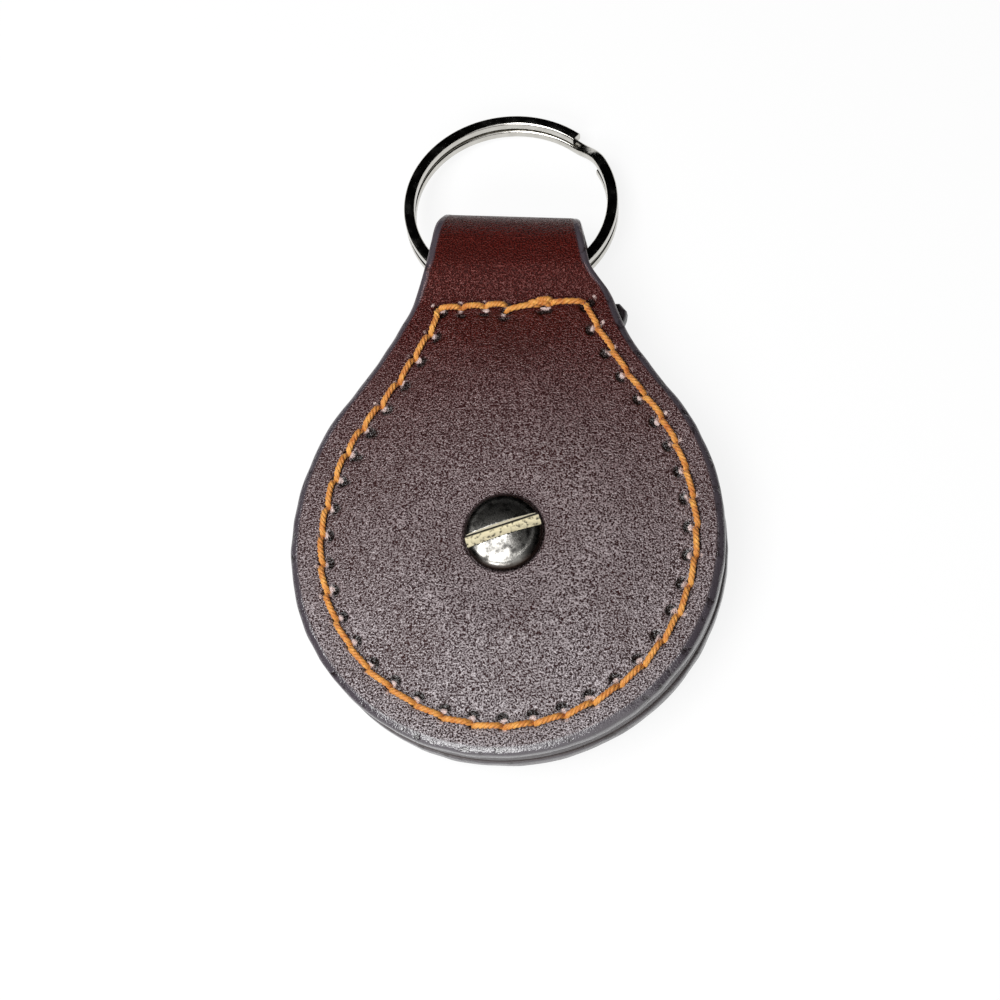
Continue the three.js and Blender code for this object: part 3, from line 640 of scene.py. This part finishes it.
# Waxed polyester thread: orange, a little paler where the plies rub, with a soft waxy shine. Its strands are
# drawn coarser than real filaments, so that they show.
fade_mm, strand_mm, strand_depth_mm = 1.1, 0.16, 0.05
thread_look, tree = new_material("waxed_orange_thread")
place = add(tree, "ShaderNodeTexCoord").outputs["Object"]
fade = add(tree, "ShaderNodeTexNoise", {"Vector": place, "Scale": 1 / (fade_mm * mm), "Detail": 2.0})
strand = add(tree, "ShaderNodeTexNoise", {"Vector": place, "Scale": 1 / (strand_mm * mm), "Detail": 2.0})
faded = add(tree, "ShaderNodeMapRange", {"Value": fade.outputs["Fac"], "From Min": 0.3, "From Max": 0.75})
dye = add(tree, "ShaderNodeMix", {"Factor": faded.outputs[0], 6: srgb("#B0621C"), 7: srgb("#DDA04A")},
          data_type="RGBA")
bump = add(tree, "ShaderNodeBump", {"Height": strand.outputs["Fac"], "Distance": strand_depth_mm * mm})
shader = add(tree, "ShaderNodeBsdfPrincipled",
             {"Base Color": dye.outputs[2], "Roughness": 0.55, "Normal": bump.outputs[0],
              "Sheen Weight": 0.15})
add(tree, "ShaderNodeOutputMaterial", {"Surface": shader.outputs[0]})
bm = sewn_thread("front_stitches", front_seam, 1)
finish_piece(bm, "front_stitches", [thread_look], "fob", "thread", "needle_thread")
bm = sewn_thread("back_stitches", back_seam, -1)
finish_piece(bm, "back_stitches", [thread_look], "fob", "thread", "bobbin_thread")


# Screw post: a turned brass post, nickel plated, with a flat head on the back and a blind bore that is
# tapped for the screw.
post_head_radius, post_head_height, post_round = 4.75, 1.4, 0.9
post_barrel, post_bore, post_floor, post_top = 2.5, 2.04, 2.0, 7.96
post_bevel, top_bevel, top_bevel_height, post_round_steps, post_turn_steps = 0.1, 0.15, 0.2, 8, 96
bm = bmesh.new()
post_profile = [(0.0, 0.0)]
for i in range(post_round_steps + 1):
    turn = i / post_round_steps * math.pi / 2
    post_profile.append((post_head_radius - post_round * (1 - math.sin(turn)),
                         post_round * (1 - math.cos(turn))))
post_profile += [(post_head_radius, post_head_height - post_bevel),
                 (post_head_radius - post_bevel, post_head_height),
                 (post_barrel, post_head_height), (post_barrel, post_top - top_bevel_height),
                 (post_barrel - top_bevel, post_top), (post_bore, post_top), (post_bore, post_floor),
                 (0.0, post_floor)]


def turned(bm, profile, steps):
    """Turns a profile of (radius, height) once round the screw's axis."""
    verts = [bm.verts.new(Vector((r, 0, z)) * mm) for r, z in profile]
    edges = [bm.edges.new(pair) for pair in zip(verts, verts[1:])]
    bmesh.ops.spin(bm, geom=verts + edges, cent=(0, 0, 0), axis=(0, 0, 1), angle=math.tau, steps=steps,
                   use_merge=True)
    bmesh.ops.remove_doubles(bm, verts=bm.verts, dist=weld)
    bmesh.ops.recalc_face_normals(bm, faces=bm.faces)


turned(bm, post_profile, post_turn_steps)

# Nickel plate, barrel polished: a warm grey mirror with soft ripples, dull smears and hairline scratches,
# which are drawn wider than real ones, so that they show.
smear_mm, scratch_mm, scratch_stretch, ripple_depth_mm = 1.3, 1.6, 14.0, 0.006
nickel_look, tree = new_material("polished_nickel_plate")
place = add(tree, "ShaderNodeTexCoord").outputs["Object"]
smear = add(tree, "ShaderNodeTexNoise", {"Vector": place, "Scale": 1 / (smear_mm * mm), "Detail": 5.0})
scratch_place = add(tree, "ShaderNodeMapping", {"Vector": place, "Rotation": (0.3, 0.2, 0.7),
                                                "Scale": (1.0, scratch_stretch, 1.0)})
scratch = add(tree, "ShaderNodeTexNoise", {"Vector": scratch_place.outputs[0], "Scale": 1 / (scratch_mm * mm),
                                           "Detail": 3.0})
tint = add(tree, "ShaderNodeMix", {"Factor": smear.outputs["Fac"], 6: srgb("#AFACA5"), 7: srgb("#D9D7D1")},
           data_type="RGBA")
dull = add(tree, "ShaderNodeMapRange", {"Value": smear.outputs["Fac"], "From Min": 0.35, "From Max": 0.7,
                                        "To Min": 0.08, "To Max": 0.24})
relief = add(tree, "ShaderNodeMath", {0: smear.outputs["Fac"], 1: 3.0, 2: scratch.outputs["Fac"]},
             operation="MULTIPLY_ADD")
bump = add(tree, "ShaderNodeBump", {"Height": relief.outputs[0], "Distance": ripple_depth_mm * mm})
shader = add(tree, "ShaderNodeBsdfPrincipled",
             {"Base Color": tint.outputs[2], "Metallic": 1.0, "Roughness": dull.outputs[0],
              "Normal": bump.outputs[0]})
add(tree, "ShaderNodeOutputMaterial", {"Surface": shader.outputs[0]})


def sharpen(piece, degrees):
    """Keeps the edges that turn more than an angle sharp, and shades the rest smoothly."""
    bm = bmesh.new()
    bm.from_mesh(piece.data)
    for edge in bm.edges:
        edge.smooth = len(edge.link_faces) == 2 and edge.calc_face_angle() < math.radians(degrees)
    bm.to_mesh(piece.data)
    bm.free()


post = finish_piece(bm, "post", [nickel_look], "post", "nickel", "screw_post")
sharpen(post, 40)


# Slotted screw: turned from brass with a low domed head, slotted for a coin or a screwdriver, then nickel
# plated. It goes down through the front panel into the post and sinks a little into the leather.
head_radius, head_seat, head_top = 4.4, 8.42, 10.17
shank_radius, shank_bottom = 1.9, 2.8
slot_half, slot_floor, slot_turn, slot_bevel = 0.75, 9.22, math.radians(17), 0.1
side_top, round_in, dome_rise = 8.77, 1.1, 0.42
shank_bevel, head_bevel = 0.3, 0.1
round_steps, dome_steps, screw_turn_steps, cut_tolerance = 10, 12, 128, 1e-8
bm = bmesh.new()
screw_profile = [(0.0, shank_bottom), (shank_radius - shank_bevel, shank_bottom),
                 (shank_radius, shank_bottom + shank_bevel), (shank_radius, head_seat),
                 (head_radius - head_bevel, head_seat), (head_radius, head_seat + head_bevel)]
for i in range(round_steps + 1):
    turn = i / round_steps * math.pi / 2
    screw_profile.append((head_radius - round_in * (1 - math.cos(turn)),
                          mix(side_top, head_top - dome_rise, math.sin(turn))))
dome_out = head_radius - round_in
for i in range(1, dome_steps + 1):
    out = dome_out * (1 - i / dome_steps)
    screw_profile.append((out, head_top - dome_rise * (out / dome_out)**2))
turned(bm, screw_profile, screw_turn_steps)
slot_planes = (((0, slot_half, 0), (0, 1, 0)), ((0, -slot_half, 0), (0, 1, 0)),
               ((0, 0, slot_floor), (0, 0, 1)))
for co, no in slot_planes:
    bmesh.ops.bisect_plane(bm, geom=bm.verts[:] + bm.edges[:] + bm.faces[:], dist=cut_tolerance,
                           plane_co=Vector(co) * mm, plane_no=no)
waste = [f for f in bm.faces if abs(f.calc_center_median().y) < slot_half * mm
         and f.calc_center_median().z > slot_floor * mm]
bmesh.ops.delete(bm, geom=waste, context="FACES")
lips, slot_faces = [], []
for wall in (slot_half, -slot_half):
    foot = [v for v in bm.verts if abs(v.co.y - wall * mm) < weld and abs(v.co.z - slot_floor * mm) < weld
            and any(e.is_boundary for e in v.link_edges)]
    bottom = bm.edges.new(foot)
    lip = [e for e in bm.edges if e.is_boundary and all(abs(v.co.y - wall * mm) < weld for v in e.verts)]
    slot_faces += bmesh.ops.contextual_create(bm, geom=lip + [bottom])["faces"]
    lips += lip
floor_edges = [e for e in bm.edges if len(e.link_faces) == 1
               and all(abs(v.co.z - slot_floor * mm) < weld for v in e.verts)]
slot_faces += bmesh.ops.contextual_create(bm, geom=floor_edges)["faces"]
for face in slot_faces:
    face.material_index = 1
bmesh.ops.bevel(bm, geom=lips, offset=slot_bevel * mm, offset_type="OFFSET", segments=2, profile=0.5,
                affect="EDGES", clamp_overlap=True, material=-1)
bmesh.ops.recalc_face_normals(bm, faces=bm.faces)
bmesh.ops.rotate(bm, verts=bm.verts, cent=(0, 0, 0), matrix=Matrix.Rotation(slot_turn, 3, "Z"))

# Tarnished nickel plate: handling has dulled the dome in grey blotches, and its rim is coloured brown all
# round.
blotch_mm, blotch_depth_mm = 0.9, 0.015
rim_brown_start, rim_brown_end = 3.85, 4.3
screw_look, tree = new_material("tarnished_nickel_plate")
place = add(tree, "ShaderNodeTexCoord").outputs["Object"]
blotch = add(tree, "ShaderNodeTexNoise", {"Vector": place, "Scale": 1 / (blotch_mm * mm), "Detail": 6.0,
                                          "Roughness": 0.65})
tarnish = add(tree, "ShaderNodeMapRange", {"Value": blotch.outputs["Fac"], "From Min": 0.38,
                                           "From Max": 0.64})
plate = add(tree, "ShaderNodeMix", {"Factor": tarnish.outputs[0], 6: srgb("#8A8884"), 7: srgb("#3A3937")},
            data_type="RGBA")
flat_place = add(tree, "ShaderNodeMapping", {"Vector": place, "Scale": (1.0, 1.0, 0.0)})
from_axis = add(tree, "ShaderNodeVectorMath", {0: flat_place.outputs[0]}, operation="LENGTH")
# The rim is coloured brown all round.
rim = add(tree, "ShaderNodeMapRange", {"Value": from_axis.outputs["Value"], "From Min": rim_brown_start * mm,
                                       "From Max": rim_brown_end * mm})
rim_browned = add(tree, "ShaderNodeMix", {"Factor": rim.outputs[0], 6: plate.outputs[2], 7: srgb("#3A2E28")},
            data_type="RGBA")
dull = add(tree, "ShaderNodeMapRange", {"Value": tarnish.outputs[0], "To Min": 0.16, "To Max": 0.36})
bump = add(tree, "ShaderNodeBump", {"Height": blotch.outputs["Fac"], "Distance": blotch_depth_mm * mm})
shader = add(tree, "ShaderNodeBsdfPrincipled",
             {"Base Color": rim_browned.outputs[2], "Metallic": 1.0, "Roughness": dull.outputs[0],
              "Normal": bump.outputs[0]})
add(tree, "ShaderNodeOutputMaterial", {"Surface": shader.outputs[0]})

# Slot: thinly plated brass, cream on the cut walls and yellower on the floor, with black painted into the
# corners between them as painted shade, and specks of black dirt all over the floor.
speck_mm, speck_depth_mm = 0.4, 0.03
corner_shade_full, corner_shade_end, floor_full, floor_end = 0.1, 0.24, 0.02, 0.06
slot_look, tree = new_material("grimy_shaded_brass_slot")
place = add(tree, "ShaderNodeTexCoord").outputs["Object"]
along_slot = add(tree, "ShaderNodeMapping", {"Vector": place, "Rotation": (0.0, 0.0, -slot_turn)})
axes = add(tree, "ShaderNodeSeparateXYZ", {0: along_slot.outputs[0]})
grime = add(tree, "ShaderNodeTexNoise", {"Vector": place, "Scale": 1 / (speck_mm * mm), "Detail": 4.0})
off_middle = add(tree, "ShaderNodeMath", {0: axes.outputs["Y"]}, operation="ABSOLUTE")
from_wall = add(tree, "ShaderNodeMath", {0: slot_half * mm, 1: off_middle.outputs[0]}, operation="SUBTRACT")
from_floor = add(tree, "ShaderNodeMath", {0: axes.outputs["Z"], 1: slot_floor * mm}, operation="SUBTRACT")
to_corner = add(tree, "ShaderNodeCombineXYZ", {"X": from_wall.outputs[0], "Y": from_floor.outputs[0]})
corner = add(tree, "ShaderNodeVectorMath", {0: to_corner.outputs[0]}, operation="LENGTH")
# Painted shade: black along the corners between the slot's walls and its floor.
corner_shade = add(tree, "ShaderNodeMapRange", {"Value": corner.outputs["Value"], "From Min": corner_shade_full * mm,
                                          "From Max": corner_shade_end * mm, "To Min": 1.0, "To Max": 0.0})
on_floor = add(tree, "ShaderNodeMapRange", {"Value": from_floor.outputs[0], "From Min": floor_full * mm,
                                            "From Max": floor_end * mm, "To Min": 1.0, "To Max": 0.0})
speck = add(tree, "ShaderNodeMapRange", {"Value": grime.outputs["Fac"], "From Min": 0.52, "From Max": 0.7})
floor_speck = add(tree, "ShaderNodeMath", {0: speck.outputs[0], 1: on_floor.outputs[0]}, operation="MULTIPLY")
shade_and_dirt = add(tree, "ShaderNodeMath", {0: corner_shade.outputs[0], 1: floor_speck.outputs[0]}, operation="MAXIMUM")
brass = add(tree, "ShaderNodeMix", {"Factor": on_floor.outputs[0], 6: srgb("#ECE7D8"), 7: srgb("#B7AE90")},
            data_type="RGBA")
metal = add(tree, "ShaderNodeMix", {"Factor": shade_and_dirt.outputs[0], 6: brass.outputs[2], 7: srgb("#17120E")},
            data_type="RGBA")
rough = add(tree, "ShaderNodeMapRange", {"Value": shade_and_dirt.outputs[0], "To Min": 0.4, "To Max": 0.8})
bump = add(tree, "ShaderNodeBump", {"Height": grime.outputs["Fac"], "Distance": speck_depth_mm * mm})
shader = add(tree, "ShaderNodeBsdfPrincipled",
             {"Base Color": metal.outputs[2], "Metallic": 0.35, "Roughness": rough.outputs[0],
              "Normal": bump.outputs[0]})
add(tree, "ShaderNodeOutputMaterial", {"Surface": shader.outputs[0]})
screw = finish_piece(bm, "domed_screw", [screw_look, slot_look], "screw", "nickel", "slotted_screw")
sharpen(screw, 35)


# Split ring: one flat nickel-plated steel wire, wound two turns round with a step where it crosses from
# the front turn to the rear one. It hangs in the loop, with its far side on the table.
ring_radius, wire_width, wire_thickness, turn_gap, wire_round = 12.05, 1.3, 1.1, 0.45, 0.25
pivot_to_ring, ring_aside = 9.85, -0.6
ring_droop, ring_askew = math.radians(-8.682709), math.radians(4)
step_at, step_half = math.radians(40), math.radians(11)
turn_pitch = wire_thickness + turn_gap
ring_steps = 320
wire_start, wire_end = step_at + step_half, step_at - step_half + 2 * math.tau


def wire_level(turn):
    """Height of the wire's middle in the ring, which drops by one turn at the step."""
    return turn_pitch * (0.5 - smooth((turn - step_at - math.tau + step_half) / (2 * step_half)))


bm = bmesh.new()
bmesh.ops.create_grid(bm, x_segments=1, y_segments=1, size=0.5)
bmesh.ops.scale(bm, verts=bm.verts, vec=(wire_width * mm, wire_thickness * mm, 1))
bmesh.ops.rotate(bm, verts=bm.verts, cent=(0, 0, 0), matrix=Matrix.Rotation(math.pi / 2, 3, "X"))
bmesh.ops.bevel(bm, geom=bm.verts[:], offset=wire_round * mm, offset_type="OFFSET", segments=4, profile=0.5,
                affect="VERTICES", material=-1)
bmesh.ops.translate(bm, verts=bm.verts, vec=(ring_radius * mm, 0, wire_level(wire_start) * mm))
bmesh.ops.rotate(bm, verts=bm.verts, cent=(0, 0, 0), matrix=Matrix.Rotation(wire_start, 3, "Z"))
end_face = bm.faces[:]
for i in range(ring_steps):
    here, there = (mix(wire_start, wire_end, k / ring_steps) for k in (i, i + 1))
    swept = bmesh.ops.extrude_face_region(bm, geom=end_face)["geom"]
    if i:
        bmesh.ops.delete(bm, geom=end_face, context="FACES_ONLY")
    verts = [g for g in swept if isinstance(g, bmesh.types.BMVert)]
    end_face = [g for g in swept if isinstance(g, bmesh.types.BMFace)]
    bmesh.ops.rotate(bm, verts=verts, cent=(0, 0, 0), matrix=Matrix.Rotation(there - here, 3, "Z"))
    bmesh.ops.translate(bm, verts=verts, vec=(0, 0, (wire_level(there) - wire_level(here)) * mm))
bmesh.ops.recalc_face_normals(bm, faces=bm.faces)
hang = (Matrix.Translation((0, pivot_y * mm, mid_level * mm)) @ Matrix.Rotation(ring_droop, 4, "X")
        @ Matrix.Rotation(ring_askew, 4, "Y") @ Matrix.Translation((ring_aside * mm, pivot_to_ring * mm, 0)))
bmesh.ops.transform(bm, matrix=hang, verts=bm.verts)
ring = finish_piece(bm, "wound_ring", [nickel_look], "ring", "nickel", "split_ring")
sharpen(ring, 40)


# Studio: a white table, a large soft box overhead, a weaker one in front, a dark tent round the back that
# only the glossy finishes mirror, and the camera above the front of the fob, a little to its right.
def staged(bm, name, material):
    """Makes the mesh a thing of the studio, which is not part of the object."""
    thing = placed(bm, name, [material])
    return thing


def seen(tree):
    """One where the camera looks straight at a surface, or by way of metal or glass."""
    path = add(tree, "ShaderNodeLightPath")
    glossy = add(tree, "ShaderNodeMath", {0: path.outputs["Is Camera Ray"], 1: path.outputs["Is Glossy Ray"]},
                 operation="MAXIMUM")
    return add(tree, "ShaderNodeMath", {0: glossy.outputs[0], 1: path.outputs["Is Transmission Ray"]},
               operation="MAXIMUM").outputs[0]


table_half, table_drop, table_glow = 3.0, 0.02, 0.88
table_look, tree = new_material("white_table")
paper = add(tree, "ShaderNodeBsdfDiffuse", {"Color": srgb("#F4F4F4")})
glow = add(tree, "ShaderNodeEmission", {"Color": (1, 1, 1, 1), "Strength": 1.0})
lit = add(tree, "ShaderNodeMath", {0: seen(tree), 1: table_glow}, operation="MULTIPLY")
blend = add(tree, "ShaderNodeMixShader", {0: lit.outputs[0], 1: paper.outputs[0], 2: glow.outputs[0]})
add(tree, "ShaderNodeOutputMaterial", {"Surface": blend.outputs[0]})
bm = bmesh.new()
bmesh.ops.create_grid(bm, x_segments=1, y_segments=1, size=table_half,
                      matrix=Matrix.Translation((0, 0, -table_drop * mm)))
staged(bm, "table", table_look)

tent_radius, tent_height, tent_opening, tent_ribs = 0.5, 0.7, math.radians(100), 12
tent_look, tree = new_material("black_cloth")
cloth = add(tree, "ShaderNodeBsdfDiffuse", {"Color": srgb("#0C0B0B")})
add(tree, "ShaderNodeOutputMaterial", {"Surface": cloth.outputs[0]})
bm = bmesh.new()
rib_turns = [i * math.pi / (2 * tent_ribs) for i in range(tent_ribs)]
ribs = [bm.verts.new((tent_radius * math.cos(turn), 0, tent_height * math.sin(turn))) for turn in rib_turns]
seams = [bm.edges.new(pair) for pair in zip(ribs, ribs[1:])]
bmesh.ops.rotate(bm, verts=bm.verts, cent=(0, 0, 0),
                 matrix=Matrix.Rotation((tent_opening - math.pi) / 2, 3, "Z"))
bmesh.ops.spin(bm, geom=ribs + seams, cent=(0, 0, 0), axis=(0, 0, 1), angle=math.tau - tent_opening, steps=48)
tent = staged(bm, "tent", tent_look)
tent.visible_camera = tent.visible_diffuse = tent.visible_shadow = False

world = bpy.data.worlds.new("studio")
bpy.context.scene.world = world
world.use_nodes = True
tree = world.node_tree
tree.nodes.clear()
room = add(tree, "ShaderNodeBackground", {"Color": (1, 1, 1, 1), "Strength": 0.08})
white = add(tree, "ShaderNodeBackground", {"Color": (1, 1, 1, 1), "Strength": 1.0})
blend = add(tree, "ShaderNodeMixShader", {0: seen(tree), 1: room.outputs[0], 2: white.outputs[0]})
add(tree, "ShaderNodeOutputWorld", {"Surface": blend.outputs[0]})

# Each lamp's name, size, power, place and the point that it faces.
lamps = (("soft_box", (0.2, 0.2), 1.03, (-0.105, -0.03, 0.3), (-0.105, -0.03, 0.0)),
         ("front_box", (0.24, 0.13), 0.85, (-0.1, -0.27, 0.25), (0.0, 0.0, 0.0)))
for name, size, energy, spot, aim in lamps:
    lamp = bpy.data.lights.new(name, "AREA")
    lamp.shape = "RECTANGLE"
    lamp.size, lamp.size_y, lamp.energy = *size, energy
    box = bpy.data.objects.new(name, lamp)
    bpy.context.scene.collection.objects.link(box)
    box.location = spot
    box.rotation_euler = (Vector(aim) - Vector(spot)).to_track_quat("-Z", "Y").to_euler()

camera_data = bpy.data.cameras.new("camera")
camera_data.lens, camera_data.sensor_width = 75.7, 36.0
camera_data.clip_start = 0.01
camera = bpy.data.objects.new("camera", camera_data)
bpy.context.scene.collection.objects.link(camera)
camera_spot = (0.03435, -0.07154, 0.22566)
right, up, back = (0.9881, 0.0171, -0.1527), (0.0335, 0.9458, 0.3230), (0.1499, -0.3242, 0.9340)
camera.matrix_world = Matrix.Translation(camera_spot) @ Matrix((right, up, back)).transposed().to_4x4()
bpy.context.scene.camera = camera
bpy.context.scene.view_settings.view_transform = "Standard"

bpy.context.view_layer.update()
